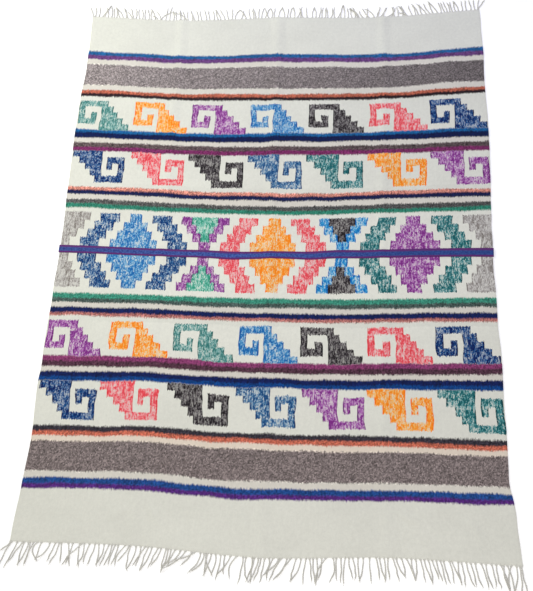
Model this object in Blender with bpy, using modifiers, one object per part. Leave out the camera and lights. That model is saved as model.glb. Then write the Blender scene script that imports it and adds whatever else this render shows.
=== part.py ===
"""Wool blanket lying flat: striped cloth, a sewn middle band and a fringe at each end.

Metres, +Z up, +X across the cloth, +Y towards its far end. The origin is on the
floor, under the middle of the whole. Tables give millimetres.
"""
import math
import random

import bmesh
import bpy
import numpy as np

MM = 0.001

# Driving sizes
CLOTH_WIDTH = 1500 * MM
CLOTH_LENGTH = 1952 * MM
CLOTH_THICKNESS = 3.0 * MM
PIECE_CLEARANCE = 0.3 * MM
BAND_THICKNESS = 1.2 * MM
BAND_OVERHANG = 3 * MM
STRANDS_AT_EACH_END = 120
STRAND_WIDTH = 2.4 * MM
STRAND_HEIGHT = 2.4 * MM
STRAND_TIP_SHARE = 0.6
STRAND_SPACE = 0.9 * MM
STRAND_LEVELS = (9 * MM, 20 * MM)
STRAND_WANDER = 3.0 * MM
STRAND_BOW = 2.5 * MM
STRAND_PAIRING = 4.0 * MM
SHORTEST_SHARE = 0.9
LONGEST_SHARE = 1.1
LEAN_POWER = 1.3
NEAR_SEED = 11
FAR_SEED = 23
ROOT_STRIP_WIDTH = 4 * MM
ROW_SPACING = 50 * MM
COLUMN_SPACING = 62 * MM
FOLD_COLUMNS = (-1.0, -0.5, 0.0, 0.5, 1.0)

# Columns: place along the cloth, then x of the left and of the right selvedge
SELVEDGES = (
    (-980, -746, 753),
    (-930, -745, 750),
    (-880, -742, 746),
    (-840, -739, 745),
    (-800, -738, 740),
    (-765, -736, 733),
    (-700, -732, 733),
    (-645, -731, 734),
    (-590, -734, 735),
    (-550, -736, 734),
    (-477, -738, 735),
    (-438, -735, 736),
    (-360, -738, 737),
    (-280, -737, 733),
    (-215, -735, 734),
    (-150, -737, 734),
    (-90, -735, 732),
    (-20, -735, 733),
    (25, -736, 736),
    (68, -736, 735),
    (114, -738, 738),
    (160, -741, 739),
    (255, -743, 744),
    (350, -746, 748),
    (452, -749, 750),
    (503, -749, 751),
    (607, -749, 749),
    (660, -746, 749),
    (714, -744, 750),
    (769, -746, 753),
    (824, -746, 752),
    (881, -748, 751),
    (938, -751, 752),
    (995, -752, 749),
)

# Columns: place along the cloth, then how far towards the far end the weft is
# drawn at the left selvedge, a quarter, the middle, three quarters, the right
DRAWN_AT = (0.0, 0.25, 0.5, 0.75, 1.0)
DRAWN_WEFT = (
    (-976, 2, 6, -11, 5, -1),
    (-790, 0, 6, -7, 0, 3),
    (-640, 0, 5, -4, -1, -1),
    (-420, 1, 3, -5, -1, 6),
    (-190, 5, -1, -6, 0, 10),
    (-18, 8, -5, -6, 1, 12),
    (210, 14, -1, -9, -2, 9),
    (440, 14, -5, -7, 0, 11),
    (610, 18, -5, -7, -4, 15),
    (807, 21, -6, -4, -9, 16),
    (976, 19, -9, -3, -8, 21),
)

# Columns: x at the near end, x at the far end, height there, height there, half width
STORAGE_FOLDS = (
    (-378, -388, 2.2, 4.0, 30),
    (4, -12, 3.0, 4.6, 34),
    (374, 386, 2.0, 4.2, 30),
)

# Columns: across, along, height, half size across, half size along
SWELLS = (
    (-560, 560, 4.0, 170, 190),
    (190, 380, 3.0, 150, 230),
    (590, 700, 4.5, 140, 200),
    (-200, -420, 3.0, 160, 220),
    (560, -330, 3.5, 150, 210),
    (-620, -760, 4.0, 110, 160),
    (150, -800, 3.0, 120, 130),
)

# Columns: across, along and width of the middle band
MIDDLE_BAND = (
    (-750, -22, 28),
    (-595, -20, 28),
    (-435, -20, 28),
    (-330, -21, 28),
    (-226, -22, 28),
    (-140, -26, 29),
    (-31, -24, 26),
    (30, -23, 26),
    (131, -26, 29),
    (232, -21, 30),
    (302, -22, 30),
    (497, -20, 30),
    (644, -21, 31),
    (750, -23, 32),
)

# Columns: across, sideways lean of a strand's tip, length
NEAR_FRINGE = (
    (-750, -20, 50),
    (-720, -15, 57),
    (-660, -13, 52),
    (-600, -2, 56),
    (-574, 6, 55),
    (-530, -2, 58),
    (-486, -10, 56),
    (-433, -15, 52),
    (-383, -15, 56),
    (-339, -10, 58),
    (-290, -24, 54),
    (-262, -14, 56),
    (-220, -27, 38),
    (-180, -30, 38),
    (-158, -28, 50),
    (-140, -8, 56),
    (-98, -12, 58),
    (-31, -4, 62),
    (28, -18, 54),
    (101, -10, 56),
    (125, 6, 60),
    (166, -14, 56),
    (220, 0, 62),
    (263, 10, 52),
    (283, -3, 58),
    (342, 12, 52),
    (389, 18, 56),
    (471, 14, 52),
    (527, 9, 56),
    (594, 13, 62),
    (688, 18, 60),
    (715, 2, 62),
    (750, 17, 62),
)
FAR_FRINGE = (
    (-750, -8, 42),
    (-711, 24, 52),
    (-688, 10, 50),
    (-650, -12, 52),
    (-598, -16, 50),
    (-532, -12, 56),
    (-473, -26, 40),
    (-434, -26, 38),
    (-376, -12, 52),
    (-290, -10, 54),
    (-240, -16, 52),
    (-212, -2, 50),
    (-119, -12, 52),
    (-90, 3, 56),
    (-14, 8, 56),
    (53, -10, 58),
    (138, 6, 60),
    (216, 10, 62),
    (247, -16, 48),
    (325, -22, 44),
    (356, 12, 52),
    (384, 16, 50),
    (462, -24, 50),
    (512, -16, 52),
    (582, -18, 54),
    (625, -4, 50),
    (668, -16, 46),
    (715, -6, 54),
    (750, 12, 60),
)

# Colours
WOOL_CREAM = (0.78, 0.76, 0.69)
BAND_BLUE = (0.07, 0.12, 0.33)
WARP_CREAM = (0.70, 0.67, 0.58)


def smooth_curve(stations, values, places):
    """Reads a smooth curve through the rising stations at many places."""
    stations = np.asarray(stations, float)
    values = np.asarray(values, float)
    places = np.asarray(places, float)
    if values.ndim == 1:
        values = np.repeat(values[:, None], len(places), axis=1)
    slopes = np.gradient(values, stations, axis=0)
    before = np.clip(np.searchsorted(stations, places, side="right") - 1, 0, len(stations) - 2)
    each = np.arange(len(places))
    span = stations[before + 1] - stations[before]
    t = np.clip((places - stations[before]) / span, 0.0, 1.0)
    start = values[before, each]
    end = values[before + 1, each]
    start_slope = slopes[before, each] * span
    end_slope = slopes[before + 1, each] * span
    rise = t * t * (3.0 - 2.0 * t)
    return (
        start
        + (end - start) * rise
        + start_slope * t * (1.0 - t) ** 2
        - end_slope * t * t * (1.0 - t)
    )


def table_curve(table, column, places):
    """Reads one column of a table of millimetres, at places given in metres."""
    rows = np.array(table, float) * MM
    return smooth_curve(rows[:, 0], rows[:, column], places)


def lie(across, along):
    """World x and y of places on the cloth, which are given in its own flat sizes."""
    share = across / CLOTH_WIDTH + 0.5
    drawn = [table_curve(DRAWN_WEFT, column, along) for column in range(1, 6)]
    y = along + smooth_curve(DRAWN_AT, drawn, share)
    left = table_curve(SELVEDGES, 1, along)
    right = table_curve(SELVEDGES, 2, along)
    return left + (right - left) * share, y


def soft_bump(distance):
    """A round bump of height 1, which ends at a distance of 1."""
    return np.cos(np.clip(distance, -1.0, 1.0) * math.pi / 2) ** 2


def fold_lines(along):
    """The place across and the height of each storage fold, at places along the cloth."""
    share = along / CLOTH_LENGTH + 0.5
    for near_x, far_x, near_height, far_height, half_width in STORAGE_FOLDS:
        place = (near_x + (far_x - near_x) * share) * MM
        height = (near_height + (far_height - near_height) * share) * MM
        yield place, height, half_width * MM


def relief(across, along):
    """Height of the cloth's underside over the floor: storage folds and low swells."""
    height = np.zeros(len(across))
    for place, crest, half_width in fold_lines(along):
        height += crest * soft_bump((across - place) / half_width)
    for row in SWELLS:
        x, y, crest, half_x, half_y = (value * MM for value in row)
        distance = np.hypot((across - x) / half_x, (along - y) / half_y)
        height = np.maximum(height, crest * soft_bump(distance))
    return height


def column_marks(along):
    """The sheet's edges and the lines of its folds, across it at one place along it."""
    marks = [-CLOTH_WIDTH / 2]
    for place, _, half_width in fold_lines(along):
        marks += [place + part * half_width for part in FOLD_COLUMNS]
    marks.append(CLOTH_WIDTH / 2)
    return marks


def columns_at(along, overhang=0.0):
    """Places of the sheet's columns at one place along it, closer on the folds."""
    marks = column_marks(along)
    middle_marks = column_marks(0.0)
    places = [marks[0]]
    for number in range(1, len(marks)):
        start, end = marks[number - 1], marks[number]
        steps = max(1, round((middle_marks[number] - middle_marks[number - 1]) / COLUMN_SPACING))
        places += [start + (end - start) * step / steps for step in range(1, steps + 1)]
    if overhang:
        places = [places[0] - overhang] + places + [places[-1] + overhang]
    return np.array(places)


def make_material(name, colour):
    material = bpy.data.materials.new(name)
    material.use_nodes = True
    shader = material.node_tree.nodes["Principled BSDF"]
    shader.inputs["Base Color"].default_value = (*colour, 1.0)
    shader.inputs["Roughness"].default_value = 0.95
    shader.inputs["Metallic"].default_value = 0.0
    return material


def add_sheet(name, rows, colour, collection):
    """A grid of quads whose rows run across the cloth; each row holds across, along."""
    bpy.ops.mesh.primitive_grid_add(
        x_subdivisions=len(rows[0][0]) - 1,
        y_subdivisions=len(rows) - 1,
        size=2.0,
    )
    sheet = bpy.context.object
    sheet.name = name
    sheet.data.name = name
    across = np.concatenate([row[0] for row in rows])
    along = np.concatenate([row[1] for row in rows])
    x, y = lie(across, along)
    z = relief(across, along)
    sheet.data.vertices.foreach_set("co", np.stack([x, y, z], axis=1).ravel())
    sheet.data.update()
    sheet.data.materials.append(make_material(name, colour))
    sheet.data.shade_smooth()
    for other in sheet.users_collection:
        other.objects.unlink(sheet)
    collection.objects.link(sheet)
    return sheet


def thicken(sheet, thickness):
    """Gives the sheet its thickness, above the surface that it was drawn on."""
    solid = sheet.modifiers.new("thickness", "SOLIDIFY")
    solid.thickness = thickness
    solid.offset = 1.0


def build_cloth(collection):
    count = round(CLOTH_LENGTH / ROW_SPACING)
    rows = []
    for along in np.linspace(-CLOTH_LENGTH / 2, CLOTH_LENGTH / 2, count + 1):
        across = columns_at(along)
        rows.append((across, np.full(len(across), along)))
    cloth = add_sheet("blanket_cloth", rows, WOOL_CREAM, collection)
    thicken(cloth, CLOTH_THICKNESS)


def build_band(collection):
    """The band follows the cloth's upper face, a little above it, across the middle."""
    across = columns_at(MIDDLE_BAND[0][1] * MM, BAND_OVERHANG)
    middle = table_curve(MIDDLE_BAND, 1, across)
    half_width = table_curve(MIDDLE_BAND, 2, across) / 2
    rows = [(across, middle + side * half_width) for side in (-1.0, 0.0, 1.0)]
    band = add_sheet("middle_band", rows, BAND_BLUE, collection)
    lift = band.modifiers.new("lift onto the cloth", "DISPLACE")
    lift.mid_level = 0.0
    lift.strength = CLOTH_THICKNESS + PIECE_CLEARANCE
    thicken(band, BAND_THICKNESS)


def nearest_place(before, last, reach):
    """How far left a strand's next point may lie, to stay clear of the strand before it."""
    apart = STRAND_WIDTH + STRAND_SPACE
    places, reaches = zip(*before)
    if reach <= reaches[-1]:
        return np.interp(reach, reaches, places) + apart
    last_place, last_reach = last
    share = (reaches[-1] - last_reach) / (reach - last_reach)
    return last_place + (places[-1] + apart - last_place) / share


def strand_routes(table, seed):
    """Each strand of one end as a list of places across and reaches from the strip.

    A strand leans as the table says, with its own small wander and bow, draws
    near to its partner, and keeps clear of the strand before it.
    """
    dice = random.Random(seed)
    pitch = (CLOTH_WIDTH - 2 * STRAND_WIDTH) / (STRANDS_AT_EACH_END - 1)
    roots = -CLOTH_WIDTH / 2 + STRAND_WIDTH + pitch * np.arange(STRANDS_AT_EACH_END)
    rows = np.array(table, float) * MM
    leans = np.interp(roots, rows[:, 0], rows[:, 1])
    lengths = np.interp(roots, rows[:, 0], rows[:, 2])
    routes = []
    for number, root in enumerate(roots):
        wander = dice.uniform(-STRAND_WANDER, STRAND_WANDER)
        bow = dice.uniform(-STRAND_BOW, STRAND_BOW)
        partner = dice.uniform(0.0, STRAND_PAIRING) * (1 if number % 2 == 0 else -1)
        length = lengths[number] * dice.uniform(SHORTEST_SHARE, LONGEST_SHARE)
        lean = leans[number] + wander + partner
        full_reach = math.sqrt(length ** 2 - lean ** 2)
        route = [(root, 0.0)]
        for reach in (*STRAND_LEVELS, full_reach):
            station = reach / full_reach
            place = root + lean * station ** LEAN_POWER + bow * math.sin(math.pi * station)
            if routes:
                place = max(place, nearest_place(routes[-1], route[-1], reach))
            route.append((place, reach))
        routes.append(route)
    return routes


def draw_strand(bm, root_edge, route, side):
    """Extrudes one strand out of the strip's outer edge, a length at a time."""
    root_y = sum(vertex.co.y for vertex in root_edge.verts) / 2
    root_x = sum(vertex.co.x for vertex in root_edge.verts) / 2
    edge = root_edge
    for number, (place, reach) in enumerate(route[1:], 1):
        is_tip = number == len(route) - 1
        half_width = STRAND_WIDTH / 2 * (STRAND_TIP_SHARE if is_tip else 1.0)
        made = bmesh.ops.extrude_edge_only(bm, edges=[edge])["geom"]
        ends = sorted(
            (item for item in made if isinstance(item, bmesh.types.BMVert)),
            key=lambda vertex: vertex.co.x,
        )
        middle = root_x + place - route[0][0]
        for vertex, offset in zip(ends, (-half_width, half_width)):
            vertex.co.x = middle + offset
            vertex.co.y = root_y + side * reach
        edge = bm.edges.get(ends)


def build_fringe(name, table, side, seed, collection):
    """A comb: a narrow strip along the cloth's end edge, with its strands fused to it.

    side is -1 at the near end and 1 at the far end.
    """
    end = side * CLOTH_LENGTH / 2
    routes = strand_routes(table, seed)
    across = [-CLOTH_WIDTH / 2]
    for route in routes:
        across += [route[0][0] - STRAND_WIDTH / 2, route[0][0] + STRAND_WIDTH / 2]
    across.append(CLOTH_WIDTH / 2)
    columns = columns_at(end)
    edge_x, edge_y = lie(columns, np.full(len(columns), end))
    x = np.interp(across, columns, edge_x)
    y = np.interp(across, columns, edge_y)

    bm = bmesh.new()
    made = bmesh.ops.create_grid(bm, x_segments=len(across) - 1, y_segments=1, size=1.0)
    rows = [made["verts"][:len(across)], made["verts"][len(across):]]
    inner, outer = rows[::side]
    for number in range(len(across)):
        inner[number].co = (x[number], y[number] + side * PIECE_CLEARANCE, 0.0)
        outer[number].co = (x[number], inner[number].co.y + side * ROOT_STRIP_WIDTH, 0.0)
    for number, route in enumerate(routes):
        root_edge = bm.edges.get((outer[2 * number + 1], outer[2 * number + 2]))
        draw_strand(bm, root_edge, route, side)
    bmesh.ops.recalc_face_normals(bm, faces=bm.faces)
    if bm.faces[0].normal.z < 0:
        bmesh.ops.reverse_faces(bm, faces=bm.faces)
    mesh = bpy.data.meshes.new(name)
    bm.to_mesh(mesh)
    bm.free()
    mesh.materials.append(make_material(name, WARP_CREAM))
    fringe = bpy.data.objects.new(name, mesh)
    collection.objects.link(fringe)
    thicken(fringe, STRAND_HEIGHT)


def main():
    for old in list(bpy.data.objects):
        bpy.data.objects.remove(old, do_unlink=True)
    collection = bpy.data.collections.new("wool blanket")
    bpy.context.scene.collection.children.link(collection)
    build_cloth(collection)
    build_band(collection)
    build_fringe("fringe_near", NEAR_FRINGE, -1, NEAR_SEED, collection)
    build_fringe("fringe_far", FAR_FRINGE, 1, FAR_SEED, collection)


main()
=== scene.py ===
# %% [markdown]
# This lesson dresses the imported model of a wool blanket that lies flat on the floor. The
# model has four plain solids: the cloth, the band sewn over its middle, and a fringe at
# each end. Each of them gets a finer mesh here, and a finish made of shader nodes.

import math
import random

import bpy
import numpy as np
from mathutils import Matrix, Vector, noise


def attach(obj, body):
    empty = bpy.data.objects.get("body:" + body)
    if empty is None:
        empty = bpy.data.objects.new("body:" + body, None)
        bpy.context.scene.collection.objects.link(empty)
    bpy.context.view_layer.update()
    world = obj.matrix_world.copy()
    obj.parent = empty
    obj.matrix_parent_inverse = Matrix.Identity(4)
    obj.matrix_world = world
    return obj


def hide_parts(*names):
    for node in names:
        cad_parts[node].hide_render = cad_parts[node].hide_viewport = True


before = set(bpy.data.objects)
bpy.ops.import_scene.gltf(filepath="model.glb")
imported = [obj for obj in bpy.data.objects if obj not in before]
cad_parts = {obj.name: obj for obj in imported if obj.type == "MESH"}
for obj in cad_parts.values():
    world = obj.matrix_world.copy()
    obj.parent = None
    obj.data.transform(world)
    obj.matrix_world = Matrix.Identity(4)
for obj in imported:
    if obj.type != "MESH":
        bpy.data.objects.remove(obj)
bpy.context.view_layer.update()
MM = 0.001
print("nodes:", sorted(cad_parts))

# %% [markdown]
# The camera stands above the near end of the blanket and looks down, a little to the left.
# Its place comes from the four corners of the cloth in the photograph: a camera above a
# flat rectangle can only see those corners from one place. The focal length is 702 pixels
# for a picture 591 pixels high, which is 42.76 mm on a sensor of 36 mm.

# %% Place the camera
camera_data = bpy.data.cameras.new("camera")
camera_data.sensor_width = 36.0
camera_data.lens = 702 / 591 * 36.0
camera = bpy.data.objects.new("camera", camera_data)
camera.location = (0.1831, -0.9786, 2.1713)
camera.rotation_euler = [math.radians(turn) for turn in (20.469, 4.125, 2.525)]
bpy.context.scene.collection.objects.link(camera)
bpy.context.scene.camera = camera
print("lens:", round(camera_data.lens, 2), "mm")

# %% [markdown]
# Studio light is soft, and on the real wool it falls off from the far left, where the cream
# is brightest, towards the right. A wide lamp low on the left gives that. One over the near
# end brightens it again, a cooler one stands beyond the far end, and an even world fills
# the shadows. The standard view keeps dyed colours as they are, where the default one
# would grey them.

# %% Light the studio
# Name, place, the point it faces, watts and colour of each lamp
LAMP_SIZE = 1.5
LAMPS = (
    ("left_window", (-1.6, 0.9, 1.6), (-0.48, 0.27, 0.0), 28.5, (0.99, 1.0, 0.87)),
    ("near_lamp", (0.3, -2.1, 1.8), (0.09, -0.63, 0.0), 19.0, (1.0, 0.965, 0.93)),
    ("far_lamp", (0.6, 2.0, 2.0), (0.18, 0.6, 0.0), 19.0, (0.6, 0.63, 1.0)),
)
scene = bpy.context.scene
scene.view_settings.view_transform = "Standard"

for name, place, aim, watts, colour in LAMPS:
    lamp_data = bpy.data.lights.new(name, "AREA")
    lamp_data.size = LAMP_SIZE
    lamp_data.energy = watts
    lamp_data.color = colour
    lamp = bpy.data.objects.new(name, lamp_data)
    lamp.location = place
    lamp.rotation_euler = (Vector(aim) - Vector(place)).to_track_quat("-Z", "Y").to_euler()
    scene.collection.objects.link(lamp)
world = bpy.data.worlds.new("studio")
world.use_nodes = True
background = world.node_tree.nodes["Background"]
background.inputs["Color"].default_value = (1.0, 0.995, 0.985, 1.0)
background.inputs["Strength"].default_value = 0.38
scene.world = world

# %% [markdown]
# The floor is a plain pale sheet. It glows a little, as a sheet of studio paper lit from
# all sides seems to, so that it stays whiter than the cream wool.

# %% Lay the floor
FLOOR_SIZE = 12.0
FLOOR_DROP = 0.4 * MM
bpy.ops.object.select_all(action="DESELECT")
bpy.ops.mesh.primitive_plane_add(size=FLOOR_SIZE, location=(0.0, 0.0, -FLOOR_DROP))
floor = bpy.context.object
floor.name = "floor"
paper = bpy.data.materials.new("pale_paper")
paper.use_nodes = True
paper_shader = paper.node_tree.nodes["Principled BSDF"]
paper_shader.inputs["Base Color"].default_value = (0.94, 0.94, 0.94, 1.0)
paper_shader.inputs["Roughness"].default_value = 0.9
paper_shader.inputs["Emission Color"].default_value = (1.0, 1.0, 1.0, 1.0)
paper_shader.inputs["Emission Strength"].default_value = 0.3
floor.data.materials.append(paper)
print("floor:", FLOOR_SIZE, "m")

# %% [markdown]
# The real blanket was woven as a plain rectangle, about 1.50 by 1.95 m, but it doesn't lie
# as one: its sides waver, and its weft is drawn into shallow curves. So every place on the
# cloth is given twice. Its own flat sizes, across and along, say where it is in the weave,
# and a function turns them into a place in the room. The numbers are those of the solids,
# so the fine mesh lies where they do.

# %% Tables of how the cloth lies
CLOTH_WIDTH = 1500 * MM
CLOTH_LENGTH = 1952 * MM
CLOTH_THICKNESS = 3.0 * MM

# Columns: place along the cloth, then x of the left and of the right selvedge
SELVEDGES = (
    (-980, -746, 753), (-930, -745, 750), (-880, -742, 746), (-840, -739, 745),
    (-800, -738, 740), (-765, -736, 733), (-700, -732, 733), (-645, -731, 734),
    (-590, -734, 735), (-550, -736, 734), (-477, -738, 735), (-438, -735, 736),
    (-360, -738, 737), (-280, -737, 733), (-215, -735, 734), (-150, -737, 734),
    (-90, -735, 732), (-20, -735, 733), (25, -736, 736), (68, -736, 735),
    (114, -738, 738), (160, -741, 739), (255, -743, 744), (350, -746, 748),
    (452, -749, 750), (503, -749, 751), (607, -749, 749), (660, -746, 749),
    (714, -744, 750), (769, -746, 753), (824, -746, 752), (881, -748, 751),
    (938, -751, 752), (995, -752, 749),
)

# Columns: place along the cloth, then how far the weft is drawn towards the far end at the
# left selvedge, a quarter, the middle, three quarters and the right selvedge
DRAWN_AT = (0.0, 0.25, 0.5, 0.75, 1.0)
DRAWN_WEFT = (
    (-976, 2, 6, -11, 5, -1),
    (-790, 0, 6, -7, 0, 3),
    (-640, 0, 5, -4, -1, -1),
    (-420, 1, 3, -5, -1, 6),
    (-190, 5, -1, -6, 0, 10),
    (-18, 8, -5, -6, 1, 12),
    (210, 14, -1, -9, -2, 9),
    (440, 14, -5, -7, 0, 11),
    (610, 18, -5, -7, -4, 15),
    (807, 21, -6, -4, -9, 16),
    (976, 19, -9, -3, -8, 21),
)

# %% Read the tables with smooth curves
def smooth_curve(stations, values, places):
    """Reads a smooth curve through the rising stations at many places."""
    stations = np.asarray(stations, float)
    values = np.asarray(values, float)
    if values.ndim == 1:
        values = np.repeat(values[:, None], len(places), axis=1)
    slopes = np.gradient(values, stations, axis=0)
    before = np.clip(np.searchsorted(stations, places, side="right") - 1, 0, len(stations) - 2)
    each = np.arange(len(places))
    span = stations[before + 1] - stations[before]
    t = np.clip((places - stations[before]) / span, 0.0, 1.0)
    rise = t * t * (3.0 - 2.0 * t)
    between = values[before, each] * (1.0 - rise) + values[before + 1, each] * rise
    leaving = slopes[before, each] * span * t * (1.0 - t) ** 2
    arriving = slopes[before + 1, each] * span * t * t * (1.0 - t)
    return between + leaving - arriving


def table_curve(table, column, places):
    """Reads one column of a table of millimetres, at places given in metres."""
    rows = np.array(table, float) * MM
    return smooth_curve(rows[:, 0], rows[:, column], places)


def lie(across, along):
    """World x and y of places on the cloth, which are given in its own flat sizes."""
    share = across / CLOTH_WIDTH + 0.5
    drawn = [table_curve(DRAWN_WEFT, column, along) for column in range(1, 6)]
    y = along + smooth_curve(DRAWN_AT, drawn, share)
    left = table_curve(SELVEDGES, 1, along)
    right = table_curve(SELVEDGES, 2, along)
    return left + (right - left) * share, y


corner_x, corner_y = lie(np.array([-0.75, 0.75]), np.array([-0.976, -0.976]))
print("near corners:", np.round(corner_x, 3), np.round(corner_y, 3))

# %% [markdown]
# The blanket was kept folded in four, so three soft ridges run along it. Between them it swells a
# few millimetres off the floor, and near its ends a few short creases run slantwise. A cloth
# simulation would smooth all that away on a flat floor, so the ridges and creases are given one
# by one, each a soft rise, and a little smooth noise goes over them, because no handwoven cloth
# lies quite still.

# %% Heights of folds, swells and creases
# Columns: x at the near end, x at the far end, height there, height there, half width
STORAGE_FOLDS = (
    (-378, -388, 2.2, 4.0, 30),
    (4, -12, 3.0, 4.6, 34),
    (374, 386, 2.0, 4.2, 30),
)

# Columns: across, along, height, half size across, half size along
SWELLS = (
    (-560, 560, 4.0, 170, 190),
    (190, 380, 3.0, 150, 230),
    (590, 700, 4.5, 140, 200),
    (-200, -420, 3.0, 160, 220),
    (560, -330, 3.5, 150, 210),
    (-620, -760, 4.0, 110, 160),
    (150, -800, 3.0, 120, 130),
)

# Columns: across and along of one end, across and along of the other, height, half width
CREASES = (
    (-356, -835, -288, -927, 4.0, 13),
    (-384, -859, -465, -906, 3.8, 13),
    (393, -843, 484, -881, 4.0, 13),
    (-60, -846, -22, -930, 2.8, 13),
    (610, -850, 655, -936, 2.8, 13),
    (-520, 842, -452, 930, 1.1, 12),
    (250, 850, 322, 926, 1.1, 12),
)
# Size and height of each layer of smooth noise. It is lifted, and its dips are cut off
WANDER_SIZES = ((190 * MM, 1.1 * MM), (75 * MM, 0.55 * MM), (30 * MM, 0.18 * MM))
WANDER_LIFT = 0.45
LAYER_STEP = 7.3


def soft_bump(distance):
    """A round bump of height 1, which ends at a distance of 1."""
    return np.cos(np.clip(distance, -1.0, 1.0) * math.pi / 2) ** 2


def crease_height(across, along, crease):
    """One short ridge between two points, which fades out towards both ends."""
    x0, y0, x1, y1, crest, half_width = (value * MM for value in crease)
    length = math.hypot(x1 - x0, y1 - y0)
    run = ((across - x0) * (x1 - x0) + (along - y0) * (y1 - y0)) / length
    aside = ((across - x0) * (y1 - y0) - (along - y0) * (x1 - x0)) / length
    return crest * soft_bump(aside / half_width) * soft_bump(2.0 * run / length - 1.0)


def wander_height(across, along):
    """Smooth noise of a few sizes, never below the floor; each layer has its own part of it."""
    height = np.zeros(len(across))
    for seed, (size, crest) in enumerate(WANDER_SIZES):
        places = zip(across / size, along / size)
        level = [noise.noise(Vector((x, y, LAYER_STEP * seed))) for x, y in places]
        height += crest * (np.array(level) + WANDER_LIFT).clip(0.0)
    return height


def relief(across, along):
    """Height of the cloth's underside over the floor."""
    share = along / CLOTH_LENGTH + 0.5
    height = np.zeros(len(across))
    for near_x, far_x, near_height, far_height, half_width in STORAGE_FOLDS:
        place = (near_x + (far_x - near_x) * share) * MM
        crest = (near_height + (far_height - near_height) * share) * MM
        height += crest * soft_bump((across - place) / (half_width * MM))
    for row in SWELLS:
        x, y, crest, half_x, half_y = (value * MM for value in row)
        distance = np.hypot((across - x) / half_x, (along - y) / half_y)
        height = np.maximum(height, crest * soft_bump(distance))
    for crease in CREASES:
        height += crease_height(across, along, crease)
    return height + wander_height(across, along)


fold_height = relief(np.array([0.0]), np.array([0.9]))[0]
print("height on the middle fold:", round(fold_height / MM, 1), "mm")

# %% [markdown]
# The cloth is a grid, as it would be drawn by hand, with each of its points moved to where
# the weave puts it. Solidify gives it 3 mm of thickness on its upper side, so that the
# underside stays on the floor, and Bevel rounds the rim, because brushed wool has no hard
# edge. Each point keeps its own place in the weave as an attribute. The pattern reads that
# and not the room, so a stripe bends wherever the cloth does.

# %% Make the cloth's mesh
CLOTH_COLUMNS = 172
CLOTH_ROWS = 222
WEAVE = "weave_place"

# Columns: place along the cloth, then how far its stripes lie off their line at each place
# across, which is given from the left selvedge
WANDER_AT = (40, 215, 420, 560, 770, 980, 1185, 1415)
WEFT_WANDER = (
    (-790, -2, -1, -2, -6, -2, -1, 0, 0),
    (-632, -3, -4, -1, -6, -2, -4, -2, -4),
    (-437, -3, -4, -2, -7, -4, -5, -2, -1),
    (-218, -4, -2, -3, -4, -4, -6, -4, -3),
    (-19, -1, -2, -3, -2, -4, -3, -3, -3),
    (178, 0, 2, -3, -3, -5, -5, -1, 1),
    (415, -3, 0, -3, -5, -3, -7, -4, 0),
    (617, -3, -1, -3, -3, -5, -5, -5, 2),
    (790, -4, -2, -6, -3, -4, -3, -5, -2),
)


def weft_wander(across, along):
    """How far a stripe lies off its line, as hand beaten weft does."""
    stations = [place * MM / CLOTH_WIDTH for place in WANDER_AT]
    columns = range(1, len(WANDER_AT) + 1)
    offsets = [table_curve(WEFT_WANDER, column, along) for column in columns]
    return smooth_curve(stations, offsets, across / CLOTH_WIDTH + 0.5)


def add_grid(name, across, along):
    """A grid with rows across the cloth, and its places in the weave kept on its points."""
    rows, columns = across.shape
    bpy.ops.object.select_all(action="DESELECT")
    bpy.ops.mesh.primitive_grid_add(x_subdivisions=columns - 1, y_subdivisions=rows - 1, size=2.0)
    grid = bpy.context.object
    grid.name = name
    grid.data.name = name
    x, y = lie(across.ravel(), along.ravel())
    z = relief(across.ravel(), along.ravel())
    grid.data.vertices.foreach_set("co", np.stack([x, y, z], axis=1).ravel())
    weave = grid.data.attributes.new(WEAVE, "FLOAT_VECTOR", "POINT")
    woven_along = along.ravel() - weft_wander(across.ravel(), along.ravel())
    places = np.stack([across.ravel(), woven_along, np.zeros(across.size)], axis=1)
    weave.data.foreach_set("vector", places.ravel())
    grid.data.update()
    return grid


def select_only(piece):
    """Makes one piece the selected and the active one, which operators then work on."""
    bpy.ops.object.select_all(action="DESELECT")
    piece.select_set(True)
    bpy.context.view_layer.objects.active = piece


def thicken(piece, thickness, rounding):
    """Solidify above the drawn face, then round the rim."""
    solid = piece.modifiers.new("thickness", "SOLIDIFY")
    solid.thickness = thickness
    solid.offset = 1.0
    rim = piece.modifiers.new("round rim", "BEVEL")
    rim.width = rounding
    rim.segments = 2
    rim.limit_method = "ANGLE"
    rim.angle_limit = math.radians(50)
    select_only(piece)
    for modifier in (solid, rim):
        bpy.ops.object.modifier_apply(modifier=modifier.name)
    piece.data.shade_smooth()


across_line = np.linspace(-CLOTH_WIDTH / 2, CLOTH_WIDTH / 2, CLOTH_COLUMNS)
along_line = np.linspace(-CLOTH_LENGTH / 2, CLOTH_LENGTH / 2, CLOTH_ROWS)
cloth = add_grid("blanket", *np.meshgrid(across_line, along_line))
thicken(cloth, CLOTH_THICKNESS, 1.2 * MM)
print("cloth:", len(cloth.data.polygons), "faces")

# %% [markdown]
# The band over the middle is smooth and stands a few millimetres past both selvedges. It
# wavers by itself, so it has its own table. It is made as the cloth was, a little above
# it, and each point also keeps how far it is from the band's middle line, as a share of
# half its width. The purple edges will read that.

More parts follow.
